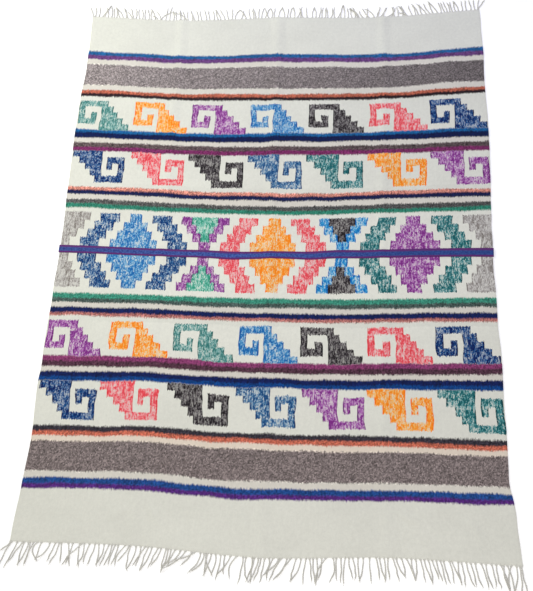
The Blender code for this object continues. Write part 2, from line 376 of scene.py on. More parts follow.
# %% Make the middle band's mesh
# Columns: across, along and width of the middle band
MIDDLE_BAND = (
    (-750, -22, 28), (-595, -20, 28), (-435, -20, 28), (-330, -21, 28), (-226, -22, 28),
    (-140, -26, 29), (-31, -24, 26), (30, -23, 26), (131, -26, 29), (232, -21, 30),
    (302, -22, 30), (497, -20, 30), (644, -21, 31), (750, -23, 32),
)
BAND_OVERHANG = 3 * MM
BAND_THICKNESS = 1.1 * MM
BAND_DOME = 0.7 * MM
BAND_ABOVE_CLOTH = 0.3 * MM
STITCH_LENGTH = 9 * MM
STITCH_DEPTH = 0.25 * MM
BAND_COLUMNS = 420
BAND_SHARES = np.array([-1.0, -0.86, -0.6, -0.3, 0.0, 0.3, 0.6, 0.86, 1.0])

band_end = CLOTH_WIDTH / 2 + BAND_OVERHANG
band_line = np.linspace(-band_end, band_end, BAND_COLUMNS)
band_middle = table_curve(MIDDLE_BAND, 1, band_line)
band_half = table_curve(MIDDLE_BAND, 2, band_line) / 2
stitch_pull = STITCH_DEPTH * np.sin(band_line / STITCH_LENGTH * 2 * math.pi)
band_across = np.repeat(band_line[None, :], len(BAND_SHARES), axis=0)
band_along = band_middle + BAND_SHARES[:, None] * (band_half + stitch_pull)
band = add_grid("middle_band_tape", band_across, band_along)
share_of_half = np.repeat(BAND_SHARES, BAND_COLUMNS)
points = np.empty(len(band.data.vertices) * 3)
band.data.vertices.foreach_get("co", points)
points[2::3] += CLOTH_THICKNESS + BAND_ABOVE_CLOTH + BAND_DOME * (1.0 - share_of_half ** 2)
band.data.vertices.foreach_set("co", points)
band_place = np.stack([band_across.ravel(), share_of_half, np.zeros(len(share_of_half))], axis=1)
band.data.attributes[WEAVE].data.foreach_set("vector", band_place.ravel())
thicken(band, BAND_THICKNESS, 0.35 * MM)
print("band:", len(band.data.polygons), "faces")

# %% [markdown]
# The fringe is what was left of the warp when the blanket was cut from the loom. Groups of warp
# ends were twisted into strands about 12 mm apart. They don't lie like a comb: most lean, tips
# meet in a V, a few cross or lie sideways, and those at the corners splay outward. Dice alone
# would make that look combed or shaken, so each strand has a row of its own, read off the real
# fringe, and dice only add small waves to it.

# %% Tables of the strands
# Columns: x of the root, x of the tip, how far the tip reaches, sideways bow in the middle
NEAR_STRANDS = (
    (-742, -772, 28, 3), (-738, -767, 65, -4), (-721, -750, 72, 0), (-703, -737, 53, -3),
    (-700, -710, 65, -4), (-688, -710, 65, 4), (-683, -692, 61, 2), (-671, -690, 61, -3),
    (-656, -657, 50, -16), (-647, -657, 50, -3), (-623, -657, 50, 8), (-604, -623, 52, -2),
    (-594, -616, 60, 3), (-588, -584, 54, 2), (-566, -556, 62, 2), (-552, -566, 58, 0),
    (-531, -529, 63, -2), (-520, -577, 60, -8), (-518, -529, 60, 5), (-499, -513, 55, -3),
    (-484, -501, 58, 2), (-474, -475, 60, 3), (-457, -474, 58, 4), (-441, -463, 56, -2),
    (-433, -450, 57, 2), (-422, -440, 56, -2), (-414, -427, 55, 2), (-389, -418, 54, -12),
    (-381, -410, 46, 3), (-376, -382, 66, -3), (-360, -382, 64, 4), (-346, -356, 54, 2),
    (-331, -364, 51, -3), (-322, -342, 63, -3), (-313, -341, 62, 4), (-292, -318, 54, -3),
    (-284, -310, 49, 2), (-268, -280, 60, -4), (-264, -281, 61, 3), (-255, -279, 58, 4),
    (-240, -262, 44, -5), (-226, -252, 36, 3), (-210, -277, 52, 4), (-194, -222, 40, 6),
    (-180, -242, 27, 4), (-168, -198, 55, 8), (-157, -188, 53, 8), (-150, -130, 58, -6),
    (-145, -154, 58, -2), (-135, -153, 58, 3), (-123, -130, 58, 5), (-107, -118, 67, 2),
    (-95, -97, 50, -1), (-77, -112, 52, 2), (-56, -80, 60, -12), (-41, -53, 70, 2),
    (-32, -29, 64, -5), (-15, -29, 63, 5), (-7, -19, 66, -2), (3, -19, 64, 5),
    (11, -5, 58, 2), (23, 10, 66, -2), (34, 22, 48, 6), (48, 30, 56, -6),
    (64, 24, 44, 4), (72, 38, 60, -6), (87, 48, 60, 3), (100, 62, 50, -3),
    (114, 98, 60, -3), (127, 98, 60, 4), (142, 133, 68, -2), (151, 157, 60, 2),
    (162, 168, 66, -2), (172, 170, 70, 3), (186, 178, 54, 2), (202, 170, 68, -12),
    (218, 212, 65, 8), (229, 230, 60, -2), (241, 241, 65, 2), (255, 250, 70, -3),
    (265, 276, 55, -4), (274, 284, 55, 4), (291, 296, 62, -2), (305, 296, 62, 3),
    (324, 328, 65, -2), (341, 351, 58, 2), (352, 367, 63, -2), (364, 367, 63, 3),
    (376, 380, 55, -2), (389, 406, 58, 3), (399, 424, 48, -2), (412, 424, 48, 4),
    (426, 450, 54, 3), (442, 452, 56, -2), (453, 453, 52, 3), (466, 479, 56, 2),
    (478, 501, 58, -3), (488, 501, 60, 3), (499, 517, 50, 2), (512, 528, 56, -2),
    (522, 537, 58, 2), (532, 548, 58, -1), (548, 560, 56, 2), (554, 580, 58, 3),
    (574, 580, 58, -3), (581, 591, 60, 2), (596, 613, 62, -2), (607, 620, 60, 2),
    (621, 636, 63, -2), (636, 654, 63, 3), (650, 666, 61, -2), (665, 677, 60, 2),
    (679, 688, 62, -2), (690, 712, 68, 6), (700, 712, 66, -5), (708, 723, 70, 6),
    (722, 712, 60, -6), (734, 724, 68, 5), (743, 745, 75, 2), (749, 762, 72, -2),
)
FAR_STRANDS = (
    (-747, -766, 42, -2), (-742, -743, 42, 2), (-728, -726, 44, 2), (-714, -682, 52, 3),
    (-704, -682, 50, -3), (-690, -700, 44, 4), (-676, -679, 49, 2), (-664, -668, 42, -2),
    (-655, -660, 47, 2), (-640, -660, 48, -4), (-628, -660, 46, 3), (-616, -622, 40, 2),
    (-607, -629, 44, -2), (-591, -614, 35, 2), (-584, -599, 45, -2), (-576, -581, 44, 2),
    (-560, -569, 46, -2), (-550, -556, 44, 2), (-539, -543, 45, -1), (-524, -531, 46, 2),
    (-513, -516, 48, -3), (-499, -516, 47, 4), (-485, -510, 20, 2), (-476, -496, 38, 3),
    (-471, -437, 35, -10), (-458, -453, 56, 2), (-440, -435, 57, -2), (-425, -430, 44, 2),
    (-412, -420, 42, -2), (-400, -403, 45, 3), (-393, -403, 46, -3), (-382, -390, 42, 2),
    (-372, -432, 38, 8), (-366, -372, 43, -2), (-350, -358, 44, 2), (-339, -361, 45, -3),
    (-327, -339, 44, 2), (-312, -322, 44, -2), (-294, -306, 46, 2), (-280, -290, 44, -2),
    (-264, -270, 42, 2), (-247, -261, 47, -3), (-238, -261, 46, 3), (-221, -243, 44, 2),
    (-206, -219, 45, -2), (-195, -197, 46, 2), (-180, -165, 42, -6), (-158, -150, 38, 2),
    (-140, -165, 42, 6), (-121, -131, 45, -2), (-110, -116, 40, 2), (-101, -114, 46, 2),
    (-90, -90, 44, -1), (-78, -71, 46, -2), (-66, -50, 44, 2), (-50, -66, 45, -2),
    (-40, -43, 42, 4), (-28, -28, 45, -2), (-12, 0, 46, -3), (10, 0, 46, 3),
    (20, 22, 44, 2), (33, 41, 45, -3), (49, 41, 45, 3), (59, 78, 46, 2),
    (72, 70, 40, 2), (83, 66, 45, -2), (99, 94, 46, -2), (118, 125, 45, -3),
    (131, 125, 45, 3), (142, 150, 46, 2), (155, 159, 44, -2), (166, 168, 40, 2),
    (176, 173, 46, 2), (188, 192, 44, 6), (204, 201, 46, -2), (215, 234, 52, 3),
    (227, 236, 53, -2), (241, 236, 53, 2), (255, 250, 42, 2), (270, 266, 43, -2),
    (282, 274, 45, 2), (290, 262, 38, 6), (298, 260, 40, 4), (314, 295, 33, -3),
    (325, 330, 40, 2), (336, 309, 40, -3), (353, 320, 37, 8), (365, 380, 42, -3),
    (366, 376, 44, 2), (377, 402, 40, 3), (390, 402, 42, -3), (403, 436, 38, 8),
    (419, 421, 44, 7), (432, 428, 42, -3), (445, 440, 43, 2), (462, 456, 44, 2),
    (476, 450, 42, 3), (479, 449, 16, 0), (481, 449, 42, -3), (498, 484, 44, -2),
    (510, 500, 44, 2), (521, 496, 45, 3), (535, 524, 42, -2), (552, 516, 44, 4),
    (566, 540, 44, -3), (577, 561, 50, -2), (594, 562, 48, 3), (607, 598, 44, 2),
    (621, 606, 45, -2), (630, 615, 45, 2), (640, 632, 42, 1), (650, 642, 44, -2),
    (662, 654, 44, -3), (672, 654, 46, 3), (686, 682, 44, 2), (702, 700, 46, -2),
    (719, 712, 45, 2), (734, 730, 44, -2), (742, 772, 42, 2), (745, 753, 49, -3),
)

# %% Draw the route of each strand
STATIONS = 30
STATION_SHARES = np.linspace(0.0, 1.0, STATIONS)
LEAN_POWER = 1.25


def strand_routes(table, seed, stretch):
    """Each strand as world x and reach at its stations; stretch lengthens every reach."""
    dice = random.Random(seed)
    t = STATION_SHARES
    routes = []
    for row in table:
        root, tip, reach, bow = (value * MM for value in row)
        tip += dice.uniform(-1.5, 1.5) * MM
        reach *= dice.uniform(0.97, 1.03) * stretch
        wave = dice.uniform(0.4, 1.5) * MM
        turns = dice.uniform(1.2, 2.4)
        phase = dice.uniform(0.0, 2 * math.pi)
        x = root + (tip - root) * t ** LEAN_POWER + bow * np.sin(math.pi * t)
        x += wave * t * np.sin(2 * math.pi * turns * t + phase)
        routes.append((x, reach * (t + 0.05 * np.sin(math.pi * t) * math.sin(phase))))
    return routes


# The reaches in the tables were read off a little short, more so at the far end
near_routes = strand_routes(NEAR_STRANDS, 11, 1.05)
far_routes = strand_routes(FAR_STRANDS, 23, 1.13)
print("strands:", len(near_routes), "and", len(far_routes))

# %% [markdown]
# A strand lies on the floor, and where it meets one drawn before it, it has to pass over
# it. So each route gets its heights in turn: wherever it comes close to an earlier strand,
# it is lifted as two round yarns need. Then the lift is spread along it, because yarn bends
# softly. Wool gives where it is pressed, so the strands of a pile lie closer together than
# round rods of their width would.

# %% Lay each strand on the floor and over its neighbours
YARN_RADIUS = 1.35 * MM
STRAND_RADIUS = 2.4 * MM
# Two strands in a pile are twice this apart
PILED_HALF = 1.6 * MM
LIFT_KEPT = 0.78
LIFT_STATIONS = 3
NEIGHBOURS = 7
ROOT_INSET = 3.5 * MM
DROP_LENGTH = 11 * MM


def spread_lift(lift):
    """Lets a lift fade over the stations beside it, and stay as high where it is needed."""
    for _ in range(LIFT_STATIONS):
        before = np.concatenate([lift[:1], lift[:-1]])
        after = np.concatenate([lift[1:], lift[-1:]])
        lift = np.maximum(lift, LIFT_KEPT * np.maximum(before, after))
    return lift


def lay_strands(routes, side):
    """World places of every strand's middle line; side is -1 near and 1 at the far end."""
    end = np.full(len(across_line), side * CLOTH_LENGTH / 2)
    edge_x, edge_y = lie(across_line, end)
    edge_z = relief(across_line, end) + CLOTH_THICKNESS / 2
    laid = []
    for world_x, reach in routes:
        world_y = np.interp(world_x[0], edge_x, edge_y) + side * (reach - ROOT_INSET)
        root_z = np.interp(world_x[0], edge_x, edge_z)
        drop = np.clip((reach - ROOT_INSET) / DROP_LENGTH, 0.0, 1.0)
        drop = drop * drop * (3.0 - 2.0 * drop)
        world_z = root_z + (STRAND_RADIUS - root_z) * drop
        lift = np.zeros(STATIONS)
        for other in laid[-NEIGHBOURS:]:
            apart_x = world_x[:, None] - other[:, 0]
            apart_y = world_y[:, None] - other[:, 1]
            apart = np.hypot(apart_x, apart_y)
            nearest = apart.argmin(axis=1)
            gap = apart.min(axis=1)
            rise = np.sqrt(np.clip((2 * PILED_HALF) ** 2 - gap ** 2, 0.0, None))
            needed = other[nearest, 2] + rise - world_z
            needed[gap > 2 * PILED_HALF] = 0.0
            lift = np.maximum(lift, needed * drop)
        laid.append(np.stack([world_x, world_y, world_z + spread_lift(lift)], axis=1))
    return laid


near_laid = lay_strands(near_routes, -1)
far_laid = lay_strands(far_routes, 1)
highest = max(line[:, 2].max() for line in near_laid + far_laid)
print("highest strand:", round(highest / MM, 1), "mm")

# %% [markdown]
# Each strand is two plies that turn round each other. A curve with a bevel is the plain
# way to draw a yarn, so each ply is one spline that winds round the strand's middle line.
# At its root a strand gathers warp ends from both sides, which leaves the small arches
# along the cloth's end. At its tip the plies open into a few loose fibres. When all the
# splines are drawn, the curve becomes a mesh.

# %% Wind the plies and convert them to a mesh
TWIST_LENGTH = 9 * MM
PLY_OFFSET = 0.85 * YARN_RADIUS
LOOSE_FIBRES = 3
FIBRE_RADII = np.array([0.4, 0.3, 0.25, 0.15])
FIBRE_HEIGHT = 0.25 * MM
GATHER_REACH = 9 * MM
GATHER_HALF = 4.6 * MM
GATHER_BOW = 0.9 * MM
GATHER_POINTS = 6
GATHER_RADIUS = 0.45


def add_spline(curve, places, radii):
    """One open spline of the curve, with its own thickness at each point."""
    spline = curve.splines.new("POLY")
    spline.points.add(len(places) - 1)
    flat = np.concatenate([places, np.ones((len(places), 1))], axis=1)
    spline.points.foreach_set("co", flat.ravel())
    spline.points.foreach_set("radius", radii)
    spline.use_smooth = True


def wind_plies(curve, line, dice):
    """Two plies round one middle line, and three fibres at its tip."""
    steps = np.linalg.norm(np.diff(line, axis=0), axis=1)
    run = np.concatenate([[0.0], np.cumsum(steps)])
    heading = np.gradient(line, axis=0)
    heading /= np.linalg.norm(heading, axis=1)[:, None]
    aside = np.cross(heading, (0.0, 0.0, 1.0))
    aside /= np.linalg.norm(aside, axis=1)[:, None]
    above = np.cross(aside, heading)
    start = dice.uniform(0.0, 2 * math.pi)
    slim = np.interp(run, [0.0, run[-1] * 0.8, run[-1]], [1.0, 1.05, 0.75])
    for ply in (0, 1):
        turn = start + ply * math.pi + run / TWIST_LENGTH * 2 * math.pi
        offset = np.cos(turn)[:, None] * aside + np.sin(turn)[:, None] * above
        places = line + offset * (PLY_OFFSET * slim)[:, None]
        places[:, 2] = np.maximum(places[:, 2], YARN_RADIUS * slim)
        add_spline(curve, places, slim)
    for _ in range(LOOSE_FIBRES):
        spread = dice.uniform(-0.5, 0.5)
        length = dice.uniform(3.0, 7.0) * MM
        share = np.linspace(0.0, 1.0, len(FIBRE_RADII))[:, None]
        ahead = share * length * heading[-1]
        places = line[-1] + ahead + share ** 1.5 * length * spread * aside[-1]
        places[:, 2] = np.maximum(places[:, 2] * (1.0 - share[:, 0] * 0.6), FIBRE_HEIGHT)
        add_spline(curve, places, FIBRE_RADII)


def gather_root(curve, line):
    """Two thin warp ends that run from the cloth into the strand."""
    joining = int(np.searchsorted(np.abs(line[:, 1] - line[0, 1]), GATHER_REACH))
    for hand in (-1.0, 1.0):
        share = np.linspace(0.0, 1.0, GATHER_POINTS)[:, None]
        start = line[0] + np.array([hand * GATHER_HALF, 0.0, 0.0])
        straight = start + share * (line[joining] - start)
        straight[:, 0] += hand * GATHER_BOW * np.sin(math.pi * share[:, 0])
        add_spline(curve, straight, np.full(GATHER_POINTS, GATHER_RADIUS))


def build_fringe(name, laid, seed):
    """All strands of one end as one mesh."""
    dice = random.Random(seed)
    curve = bpy.data.curves.new(name, "CURVE")
    curve.dimensions = "3D"
    curve.bevel_depth = YARN_RADIUS
    curve.bevel_resolution = 1
    curve.use_fill_caps = True
    for line in laid:
        wind_plies(curve, line, dice)
        gather_root(curve, line)
    fringe = bpy.data.objects.new(name, curve)
    scene.collection.objects.link(fringe)
    select_only(fringe)
    bpy.ops.object.convert(target="MESH")
    fringe = bpy.context.object
    fringe.data.name = name
    fringe.data.shade_smooth()
    print(name, len(fringe.data.polygons), "faces")
    return fringe


near_fringe = build_fringe("near_fringe", near_laid, 31)
far_fringe = build_fringe("far_fringe", far_laid, 37)

# %% [markdown]
# Now the finishes. They are drawn with chains of shader nodes, and a small helper keeps
# those chains readable: it adds a node, links what it is given, and returns the socket
# that comes out. Colours are written as they look on a screen, from 0 to 255, and turned
# into the linear values that shaders use. Random numbers come in two kinds: smooth noise,
# and one number for each small cell, which suits single tufts of wool.

# %% A helper that draws shader nodes
def dye(red, green, blue, alpha=1.0):
    """Screen colour as linear values."""
    shares = [value / 255 for value in (red, green, blue)]
    linear = [s / 12.92 if s <= 0.04045 else ((s + 0.055) / 1.055) ** 2.4 for s in shares]
    return (*linear, alpha)


class NodeHand:
    """Places nodes in one material and links them."""

    def __init__(self, name):
        self.material = bpy.data.materials.new(name)
        self.material.use_nodes = True
        self.tree = self.material.node_tree
        self.shader = self.tree.nodes["Principled BSDF"]

    def put(self, kind, inputs, **settings):
        """A node of one kind; inputs are sockets or plain values by place or name."""
        node = self.tree.nodes.new(kind)
        for name, value in settings.items():
            setattr(node, name, value)
        for place, value in inputs.items():
            if isinstance(value, bpy.types.NodeSocket):
                self.tree.links.new(value, node.inputs[place])
            else:
                node.inputs[place].default_value = value
        return node

    def math(self, operation, *values, clamp=False):
        """One sum, product or test."""
        node = self.put("ShaderNodeMath", dict(enumerate(values)), operation=operation)
        node.use_clamp = clamp
        return node.outputs[0]

    def mix(self, share, first, second, blend="MIX"):
        """First colour where share is 0, second where it is 1."""
        inputs = {0: share, 6: first, 7: second}
        return self.put("ShaderNodeMix", inputs, data_type="RGBA", blend_type=blend).outputs[2]

    def swap(self, share, first, second):
        """The same for plain numbers."""
        inputs = {0: share, 2: first, 3: second}
        return self.put("ShaderNodeMix", inputs, data_type="FLOAT").outputs[0]

    def shade(self, colour, level):
        """A colour made lighter or darker by one number."""
        grey = self.put("ShaderNodeCombineColor", {0: level, 1: level, 2: level}).outputs[0]
        return self.mix(1.0, colour, grey, "MULTIPLY")

    def stretch(self, vector, factors):
        """A vector with each of its parts multiplied, and the parts one by one."""
        inputs = {0: vector, 1: factors}
        longer = self.put("ShaderNodeVectorMath", inputs, operation="MULTIPLY").outputs[0]
        parts = self.put("ShaderNodeSeparateXYZ", {0: longer}).outputs
        return longer, parts[0], parts[1]

    def apart(self, first, second):
        """How far apart two numbers are."""
        return self.math("ABSOLUTE", self.math("SUBTRACT", first, second))

    def steps(self, value, low, high):
        """0 below low, 1 above high, straight between."""
        return self.put("ShaderNodeMapRange", {0: value, 1: low, 2: high}).outputs[0]

    def push(self, noise_socket, reach):
        """A push of up to half the reach either way, by a number from 0 to 1."""
        return self.math("MULTIPLY_ADD", noise_socket, reach, -reach / 2)

    def fuzz(self, place, across, along, seed, detail=1.0):
        """Smooth noise with grains of one size, about 0.5 on average."""
        scaled = self.put(
            "ShaderNodeVectorMath",
            {0: place, 1: (1 / across, 1 / along, 1.0), 2: (3.7 * seed, 11.3 * seed, 0.0)},
            operation="MULTIPLY_ADD",
        ).outputs[0]
        inputs = {"Vector": scaled, "Scale": 1.0, "Detail": detail, "Roughness": 0.55}
        return self.put("ShaderNodeTexNoise", inputs, noise_dimensions="2D").outputs[0]

    def speckle(self, across, along, wide, long, seed):
        """A random number for each small cell of the weave, as single tufts differ."""
        columns = self.math("FLOOR", self.math("MULTIPLY_ADD", across, 1 / wide, 0.37 * seed))
        rows = self.math("FLOOR", self.math("MULTIPLY_ADD", along, 1 / long, 0.61 * seed))
        cell = self.put("ShaderNodeCombineXYZ", {0: columns, 1: rows, 2: float(seed)}).outputs[0]
        dots = self.put("ShaderNodeTexWhiteNoise", {"Vector": cell}, noise_dimensions="3D")
        return dots.outputs["Value"]

    def ramp(self, value, stops, interpolation="LINEAR"):
        """A colour ramp from (position, colour) pairs; returns its colour and alpha."""
        node = self.put("ShaderNodeValToRGB", {0: value})
        line = node.color_ramp
        line.interpolation = interpolation
        while len(line.elements) > 1:
            line.elements.remove(line.elements[-1])
        line.elements[0].position = stops[0][0]
        line.elements[0].color = stops[0][1]
        for position, colour in stops[1:]:
            line.elements.new(position).color = colour
        return node.outputs[0], node.outputs[1]

    def curve(self, value, knots):
        """A line bent at its knots, from 0 to 1 both ways."""
        node = self.put("ShaderNodeFloatCurve", {1: value})
        line = node.mapping.curves[0]
        for _ in knots[2:]:
            line.points.new(0.5, 0.5)
        for point, place in zip(line.points, knots):
            point.location = place
            point.handle_type = "VECTOR"
        node.mapping.update()
        return node.outputs[0]

    def dress(self, pieces, colour, height, bump, surface):
        """Links colour and bump, sets what is even all over, and gives it to the pieces."""
        strength, depth = bump
        inputs = {"Strength": strength, "Distance": depth, "Height": height}
        bump_node = self.put("ShaderNodeBump", inputs)
        self.tree.links.new(colour, self.shader.inputs["Base Color"])
        self.tree.links.new(bump_node.outputs[0], self.shader.inputs["Normal"])
        for name, value in surface.items():
            self.shader.inputs[name].default_value = value
        for piece in pieces:
            piece.data.materials.clear()
            piece.data.materials.append(self.material)
        print(self.material.name, "has", len(self.tree.nodes), "nodes")


print("cream as linear values:", [round(value, 2) for value in dye(226, 226, 217)[:3]])

# %% [markdown]
# The weaver had thirteen or so yarns. Some of them look different in the far half, where the
# light falls differently, so they have a second shade here, which paints that far light into the
# yarn's colour. The stripes lie in six groups of bands, with plain cream ground or a row of
# figures between them, so each group is one colour ramp that is only as long as the group: a ramp
# is kept as 256 steps, and over the whole length a step would be wider than the yarn. Widths were
# measured on the cloth, from the near end. A stripe yarn's alpha says how heathered it is, that
# is, how much fleece of other shades was carded in.

# %% Yarns and stripes
CREAM = dye(227, 227, 217, 0.0)
# Yarns named far are the same dyes with the far half's light painted into their colour.
YARNS = {
    "cream": CREAM,
    "hairy cream": dye(221, 216, 206, 0.0),
    "warm cream": dye(232, 218, 202, 0.0),
    "deep blue": dye(30, 72, 138, 0.1),
    "sky blue": dye(26, 92, 150, 0.1),
    "purple": dye(86, 40, 122, 0.1),
    "far-lit purple": dye(104, 62, 122, 0.1),
    "near grey": dye(133, 121, 120, 1.0),
    "far-lit grey": dye(138, 129, 129, 1.0),
    "coral": dye(202, 108, 86, 0.15),
    "far-lit coral": dye(184, 98, 76, 0.15),
    "soft black": dye(54, 50, 60, 0.35),
    "warm black": dye(38, 22, 30, 0.35),
    "night blue": dye(4, 64, 132, 0.1),
    "blue": dye(16, 94, 154, 0.1),
    "navy": dye(10, 28, 84, 0.15),
    "far-lit navy": dye(16, 26, 74, 0.15),
    "deep navy": dye(0, 20, 74, 0.15),
    "plum brown": dye(82, 50, 66, 0.4),
    "brown": dye(92, 78, 80, 0.4),
    "magenta": dye(138, 60, 109, 0.15),
    "far-lit magenta": dye(122, 42, 96, 0.15),
    "salmon": dye(184, 116, 110, 0.15),
    "far-lit salmon": dye(218, 142, 126, 0.15),
    "mossy grey": dye(72, 90, 86, 0.4),
    "dark grey": dye(86, 86, 86, 0.45),
    "green": dye(60, 144, 122, 0.1),
    "far-lit green": dye(46, 130, 108, 0.1),
}

# Yarn and width of each stripe, from the near end to the far end
STRIPE_GROUPS = (
    (-815.2, (("purple", 14.2), ("deep blue", 17.4), ("hairy cream", 20.1), ("near grey", 92.4),
              ("warm cream", 18.1), ("coral", 14.7), ("soft black", 16.3))),
    (-477.5, (("night blue", 14.3), ("navy", 17.1), ("hairy cream", 16.9), ("plum brown", 18.2),
              ("magenta", 16.6))),
    (-256.9, (("salmon", 11.3), ("navy", 18.3), ("hairy cream", 17.8), ("mossy grey", 15.2),
              ("green", 17.7))),
    (135.0, (("far-lit green", 16.0), ("dark grey", 17.0), ("hairy cream", 20.9), ("far-lit navy", 17.9),
             ("far-lit salmon", 12.8))),
    (369.6, (("far-lit magenta", 18.0), ("brown", 18.0), ("hairy cream", 19.0), ("deep navy", 22.8),
             ("blue", 13.1))),
    (602.6, (("warm black", 14.0), ("far-lit coral", 14.0), ("hairy cream", 24.0), ("far-lit grey", 95.1),
             ("hairy cream", 22.7), ("far-lit purple", 19.1), ("sky blue", 15.6))),
)
RAMP_MARGIN = 6.0
# Half of the length over which one yarn turns into the next
SOFT_EDGE = 3.0


def group_stops(stripes):
    """Ramp stops of one group, and the ramp's length: two stops at each change of yarn."""
    length = 2 * RAMP_MARGIN + sum(width for _, width in stripes)
    stops = [(0.0, CREAM)]
    place = RAMP_MARGIN
    before = CREAM
    for yarn, width in (*stripes, ("cream", 0.0)):
        stops.append(((place - SOFT_EDGE) / length, before))
        stops.append(((place + SOFT_EDGE) / length, YARNS[yarn]))
        before = YARNS[yarn]
        place += width
    return stops, length


for start, stripes in STRIPE_GROUPS:
    print("group from", start, "with", len(group_stops(stripes)[0]), "stops")

# %% [markdown]
# The wool was brushed along the warp after weaving, so every stripe ends in a ragged line
# of short hairs. It would take a million hairs to model that. Here the place where the
# ramp is read is pushed up and down by noise that is a few millimetres wide and much
# longer, so that edges turn into teeth. A slower noise lets whole stripes waver, as hand
# beaten weft does.

# %% Where the pattern is read, with hairs and wavering
wool = NodeHand("brushed_wool")
weave = wool.put("ShaderNodeAttribute", {}, attribute_name=WEAVE).outputs["Vector"]
flat_mm, across_mm, along_mm = wool.stretch(weave, (1000.0, 1000.0, 0.0))
hair_noise = wool.fuzz(flat_mm, 3.0, 14.0, 1, 2.0)
tuft_noise = wool.fuzz(flat_mm, 7.5, 22.0, 2)
waver_noise = wool.fuzz(flat_mm, 120.0, 60.0, 3)
hair_push = wool.push(hair_noise, 9.6)
slow_push = wool.math("ADD", wool.push(tuft_noise, 6.0), wool.push(waver_noise, 9.0))
slow_along = wool.math("ADD", along_mm, slow_push)
hairy_along = wool.math("ADD", slow_along, hair_push)
print("nodes so far:", len(wool.tree.nodes))

# %% Read the six groups of stripes
stripe_colour = None
stripe_heather = None
previous_end = None
for start, stripes in STRIPE_GROUPS:
    stops, length = group_stops(stripes)
    first = start - RAMP_MARGIN
    share = wool.math("MULTIPLY_ADD", hairy_along, 1 / length, -first / length, clamp=True)
    colour, heather = wool.ramp(share, stops)
    if stripe_colour is None:
        stripe_colour, stripe_heather = colour, heather
    else:
        beyond = wool.math("GREATER_THAN", hairy_along, (previous_end + first) / 2)
        stripe_colour = wool.mix(beyond, stripe_colour, colour)
        stripe_heather = wool.swap(beyond, stripe_heather, heather)
    previous_end = first + length
print("nodes so far:", len(wool.tree.nodes))

# %% [markdown]
# Rows of stepped frets stand between the stripes: a square hook with a stair behind it. It is an
# old woven figure, ten columns wide and five rows high, and it was charted on squared paper, as a
# weaver would. In two of the rows it hangs from the stripe above, which is the same chart turned
# half round. The chart is read out row by row into one ramp with hard stops, and the nodes work
# out which square of it they stand on.

# %% Chart the fret
FRET_CHART = (
    "XXXXXX....",
    "X...XXX...",
    "X.X.XXXX..",
    "XXX.XXXXX.",
    "....XXXXXX",
)
# A fret's columns and the empty one beside it, and its rows and the empty one below
CHART_COLUMNS = 11
CHART_ROWS = 6
# The fret's last square, from which the chart is read backwards when it is turned
LAST_SQUARE = (CHART_ROWS - 2) * CHART_COLUMNS + CHART_COLUMNS - 2
squares = "." + "".join(row + "." for row in FRET_CHART) + "." * (CHART_COLUMNS + 1)
chart_stops = [(0.0, (0.0, 0.0, 0.0, 1.0))]
for number in range(1, len(squares)):
    if squares[number] != squares[number - 1]:
        level = 1.0 if squares[number] == "X" else 0.0
        chart_stops.append((number / len(squares), (level, level, level, 1.0)))
print("squares:", len(squares), "stops:", len(chart_stops))

# %% Where the frets lie
# Left and right ends of the seven frets of each row, from the left selvedge
FRET_ENDS = (
    ((5, 201), (219, 416), (434, 637), (652, 846), (865, 1065), (1081, 1288), (1297, 1499)),
    ((3, 201), (221, 420), (433, 638), (651, 846), (860, 1061), (1075, 1282), (1294, 1499)),
    ((1, 194), (223, 420), (437, 640), (658, 852), (860, 1060), (1079, 1286), (1296, 1499)),
    ((6, 202), (211, 408), (435, 638), (658, 852), (870, 1070), (1075, 1282), (1298, 1499)),
)
# Far and near edges of the four rows, from the far end
FRET_ROWS = ((584.6, 460.5), (369.6, 238.6), (-273.4, -394.4), (-477.5, -602.5))
# A figure yarn's alpha says how much of the ground shows between its hairs
MOTIF_YARNS = {
    "teal": dye(76, 154, 158),
    "pale teal": dye(120, 176, 173),
    "orange": dye(255, 187, 84),
    "violet": dye(182, 112, 187),
    "light blue": dye(88, 164, 212),
    "mid blue": dye(81, 136, 178),
    "bright blue": dye(60, 172, 222),
    "charcoal": dye(98, 92, 96, 0.5),
    "red": dye(245, 136, 146),
    "indigo": dye(56, 116, 168),
    "deep indigo": dye(18, 91, 153, 0.8),
    "grey": dye(197, 193, 190, 0.7),
    "mint": dye(118, 200, 182),
}
FRET_COLOURS = (
    ("pale teal", "orange", "violet", "light blue", "charcoal", "red", "deep indigo"),
    ("deep indigo", "red", "charcoal", "mid blue", "teal", "orange", "violet"),
    ("violet", "orange", "pale teal", "light blue", "charcoal", "red", "deep indigo"),
    ("deep indigo", "red", "charcoal", "mid blue", "violet", "orange", "teal"),
)
WIDEST_MM = 1500.0
# Left of a row's seven frets the count of columns starts with two of margin
FRETS_A_ROW = 7
COLUMN_MARGIN = 2
COLUMN_TOTAL = COLUMN_MARGIN + FRETS_A_ROW * CHART_COLUMNS
ROW_TOTAL = len(FRET_ROWS) * CHART_ROWS - 1
# The columns of the real frets aren't even: shares of a fret's width at their edges
COLUMN_SHARES = (0.0, 0.12, 0.235, 0.345, 0.43, 0.495, 0.56, 0.655, 0.755, 0.87, 1.0)


def column_knots(row):
    """The knots of one row's curve, from the place across to the number of the column."""
    knots = [(0.0, 1.6 / COLUMN_TOTAL)]
    for number, (start, end) in enumerate(FRET_ENDS[row]):
        first = COLUMN_MARGIN + CHART_COLUMNS * number
        knots.append((start / WIDEST_MM, first / COLUMN_TOTAL))
        knots.append((end / WIDEST_MM, (first + CHART_COLUMNS - 1) / COLUMN_TOTAL))
    return knots


print("knots:", len(column_knots(0)))

